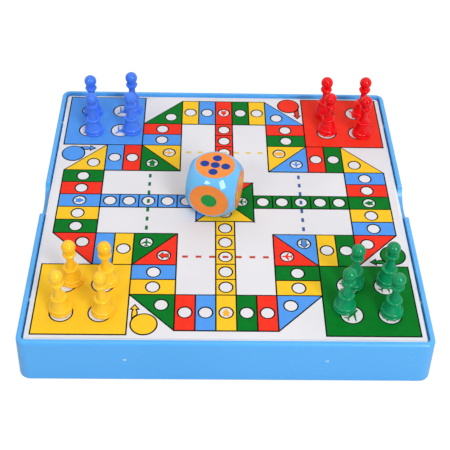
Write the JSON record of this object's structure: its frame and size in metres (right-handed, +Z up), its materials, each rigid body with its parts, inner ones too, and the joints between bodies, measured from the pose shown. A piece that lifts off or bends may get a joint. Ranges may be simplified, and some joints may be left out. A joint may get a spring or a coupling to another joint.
{
  "type": "ludo set",
  "caption": "Square travel ludo set: moulded storage tray with finger scoops, lift-off printed board, turned ball-head pawns in the corner bases and a large round-cornered die",
  "frame": {"origin": "middle of the tray's underside, on the table", "axes": "+Z up; +Y from the player's side in the picture to the back, where the red home column starts; +X to the right"},
  "size_m": [0.2574, 0.2574, 0.0671],
  "materials": {
    "tray_plastic": "moulded, satin gloss",
    "board_plastic": "moulded, satin gloss",
    "sheet": "printed sheet, smooth matt",
    "ink_black": "printing ink",
    "ink_red": "printing ink",
    "ink_yellow": "printing ink",
    "ink_green": "printing ink",
    "ink_blue": "printing ink",
    "pawn_red": "moulded, gloss",
    "pawn_yellow": "moulded, gloss",
    "pawn_green": "moulded, gloss",
    "pawn_blue": "moulded, gloss",
    "die_plastic": "moulded, gloss",
    "sticker": "printed sticker",
    "pip_green": "printing ink",
    "pip_blue": "printing ink",
    "pip_yellow": "printing ink"
  },
  "bodies": {
    "tray": {"tray": "tray_plastic"},
    "board": {"board_panel": "board_plastic", "playing_sheet": "sheet", "print_key": "ink_black", "print_red": "ink_red", "print_yellow": "ink_yellow", "print_green": "ink_green", "print_blue": "ink_blue"},
    "pawn_red_1": {"pawn_red_1": "pawn_red"},
    "pawn_red_2": {"pawn_red_2": "pawn_red"},
    "pawn_red_3": {"pawn_red_3": "pawn_red"},
    "pawn_red_4": {"pawn_red_4": "pawn_red"},
    "pawn_yellow_1": {"pawn_yellow_1": "pawn_yellow"},
    "pawn_yellow_2": {"pawn_yellow_2": "pawn_yellow"},
    "pawn_yellow_3": {"pawn_yellow_3": "pawn_yellow"},
    "pawn_yellow_4": {"pawn_yellow_4": "pawn_yellow"},
    "pawn_green_1": {"pawn_green_1": "pawn_green"},
    "pawn_green_2": {"pawn_green_2": "pawn_green"},
    "pawn_green_3": {"pawn_green_3": "pawn_green"},
    "pawn_green_4": {"pawn_green_4": "pawn_green"},
    "pawn_blue_1": {"pawn_blue_1": "pawn_blue"},
    "pawn_blue_2": {"pawn_blue_2": "pawn_blue"},
    "pawn_blue_3": {"pawn_blue_3": "pawn_blue"},
    "pawn_blue_4": {"pawn_blue_4": "pawn_blue"},
    "die": {"die_body": "die_plastic", "die_sticker_1": "sticker", "die_sticker_2": "sticker", "die_sticker_3": "sticker", "die_sticker_4": "sticker", "die_sticker_5": "sticker", "die_sticker_6": "sticker", "die_pips_green": "pip_green", "die_pips_blue": "pip_blue", "die_pips_yellow": "pip_yellow"}
  },
  "joints": [
    {"name": "board_lift", "type": "slide", "parent": "tray", "child": "board", "axis": [0, 0, 1], "range_m": [0, 0.06]},
    {"name": "pawn_red_1_lift", "type": "slide", "parent": "board", "child": "pawn_red_1", "axis": [0, 0, 1], "range_m": [0, 0.05]},
    {"name": "pawn_red_2_lift", "type": "slide", "parent": "board", "child": "pawn_red_2", "axis": [0, 0, 1], "range_m": [0, 0.05]},
    {"name": "pawn_red_3_lift", "type": "slide", "parent": "board", "child": "pawn_red_3", "axis": [0, 0, 1], "range_m": [0, 0.05]},
    {"name": "pawn_red_4_lift", "type": "slide", "parent": "board", "child": "pawn_red_4", "axis": [0, 0, 1], "range_m": [0, 0.05]},
    {"name": "pawn_yellow_1_lift", "type": "slide", "parent": "board", "child": "pawn_yellow_1", "axis": [0, 0, 1], "range_m": [0, 0.05]},
    {"name": "pawn_yellow_2_lift", "type": "slide", "parent": "board", "child": "pawn_yellow_2", "axis": [0, 0, 1], "range_m": [0, 0.05]},
    {"name": "pawn_yellow_3_lift", "type": "slide", "parent": "board", "child": "pawn_yellow_3", "axis": [0, 0, 1], "range_m": [0, 0.05]},
    {"name": "pawn_yellow_4_lift", "type": "slide", "parent": "board", "child": "pawn_yellow_4", "axis": [0, 0, 1], "range_m": [0, 0.05]},
    {"name": "pawn_green_1_lift", "type": "slide", "parent": "board", "child": "pawn_green_1", "axis": [0, 0, 1], "range_m": [0, 0.05]},
    {"name": "pawn_green_2_lift", "type": "slide", "parent": "board", "child": "pawn_green_2", "axis": [0, 0, 1], "range_m": [0, 0.05]},
    {"name": "pawn_green_3_lift", "type": "slide", "parent": "board", "child": "pawn_green_3", "axis": [0, 0, 1], "range_m": [0, 0.05]},
    {"name": "pawn_green_4_lift", "type": "slide", "parent": "board", "child": "pawn_green_4", "axis": [0, 0, 1], "range_m": [0, 0.05]},
    {"name": "pawn_blue_1_lift", "type": "slide", "parent": "board", "child": "pawn_blue_1", "axis": [0, 0, 1], "range_m": [0, 0.05]},
    {"name": "pawn_blue_2_lift", "type": "slide", "parent": "board", "child": "pawn_blue_2", "axis": [0, 0, 1], "range_m": [0, 0.05]},
    {"name": "pawn_blue_3_lift", "type": "slide", "parent": "board", "child": "pawn_blue_3", "axis": [0, 0, 1], "range_m": [0, 0.05]},
    {"name": "pawn_blue_4_lift", "type": "slide", "parent": "board", "child": "pawn_blue_4", "axis": [0, 0, 1], "range_m": [0, 0.05]},
    {"name": "die_lift", "type": "slide", "parent": "board", "child": "die", "axis": [0, 0, 1], "range_m": [0, 0.05]}
  ]
}
